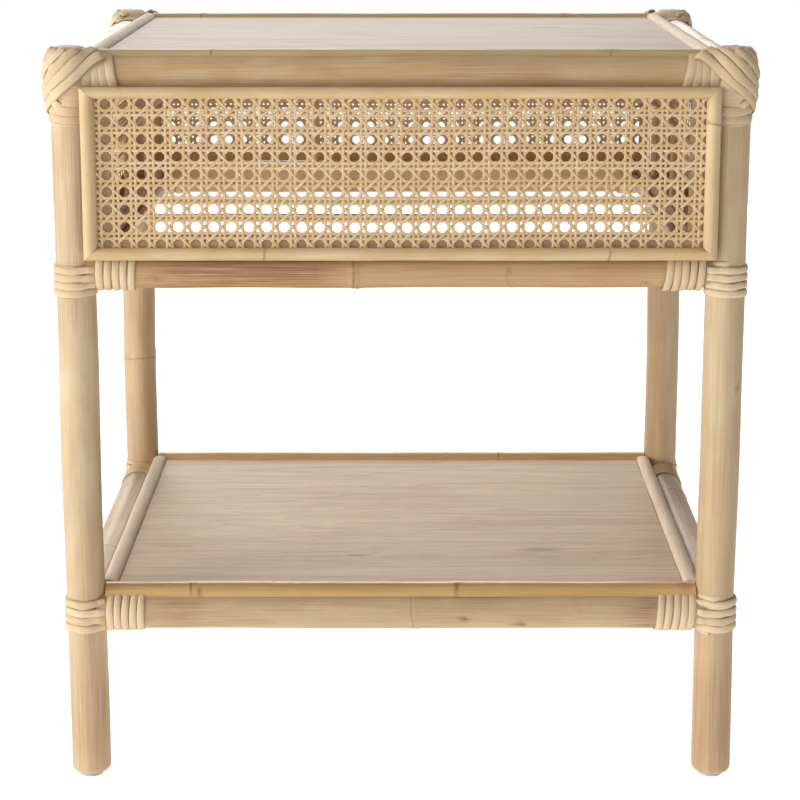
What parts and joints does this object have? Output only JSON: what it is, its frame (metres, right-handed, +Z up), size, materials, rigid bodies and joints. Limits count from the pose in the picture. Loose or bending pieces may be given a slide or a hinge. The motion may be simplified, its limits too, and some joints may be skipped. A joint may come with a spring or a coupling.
{
  "type": "nightstand",
  "caption": "Rattan pole nightstand with lashed joints, wooden top and open shelf, cane panels and an open-work drawer with a cane front.",
  "frame": {"origin": "on the floor, at the middle of the overall footprint", "axes": "+Z up, +X to the right of someone facing the drawer, the drawer opens along -Y"},
  "size_m": [0.5088, 0.4158, 0.551],
  "materials": {
    "pole": "smooth rattan skin, satin",
    "rail": "smooth rattan skin, satin, streaked",
    "trim": "half-round rattan with its skin on, satin",
    "core": "pale half-round rattan core, matt and fibrous",
    "board": "pale washed veneer, satin",
    "binding": "flat rattan peel, matt",
    "lashing": "rattan peel strands, matt",
    "cane": "woven cane webbing, satin",
    "batten": "plain brown batten, matt",
    "rod": "thin rattan rod, satin",
    "glide": "light grey plastic"
  },
  "bodies": {
    "frame": {"binding_back_left": "binding", "binding_back_right": "binding", "binding_front_left": "binding", "binding_front_right": "binding", "cane_back": "cane", "cane_left": "cane", "cane_right": "cane", "glide_back_left": "glide", "glide_back_right": "glide", "glide_front_left": "glide", "glide_front_right": "glide", "lashing_mid_back_left": "lashing", "lashing_mid_back_right": "lashing", "lashing_mid_front_left": "lashing", "lashing_mid_front_right": "lashing", "lashing_shelf_back_left": "lashing", "lashing_shelf_back_right": "lashing", "lashing_shelf_front_left": "lashing", "lashing_shelf_front_right": "lashing", "leg_back_left": "pole", "leg_back_right": "pole", "leg_front_left": "pole", "leg_front_right": "pole", "rail_mid_back": "rail", "rail_mid_front": "rail", "rail_mid_left": "rail", "rail_mid_right": "rail", "rail_shelf_back": "rail", "rail_shelf_front": "rail", "rail_shelf_left": "rail", "rail_shelf_right": "rail", "rail_top_back": "rail", "rail_top_front": "rail", "rail_top_left": "rail", "rail_top_right": "rail", "runner_left": "batten", "runner_right": "batten", "shelf_board": "board", "shelf_trim_back": "trim", "shelf_trim_front": "trim", "shelf_trim_left": "core", "shelf_trim_right": "core", "strips_back": "trim", "strips_left": "trim", "strips_right": "trim", "top_board": "board", "top_trim_back": "trim", "top_trim_front": "trim", "top_trim_left": "core", "top_trim_right": "core"},
    "drawer": {"drawer_bottom": "rod", "drawer_cane": "cane", "drawer_front_frame": "batten", "drawer_gallery": "rod", "drawer_side_left": "batten", "drawer_side_right": "batten", "drawer_trim_bottom": "trim", "drawer_trim_left": "trim", "drawer_trim_right": "trim", "drawer_trim_top": "trim"}
  },
  "joints": [
    {"name": "drawer_slide", "type": "slide", "parent": "frame", "child": "drawer", "axis": [0, -1, 0], "range_m": [0, 0.24]}
  ]
}
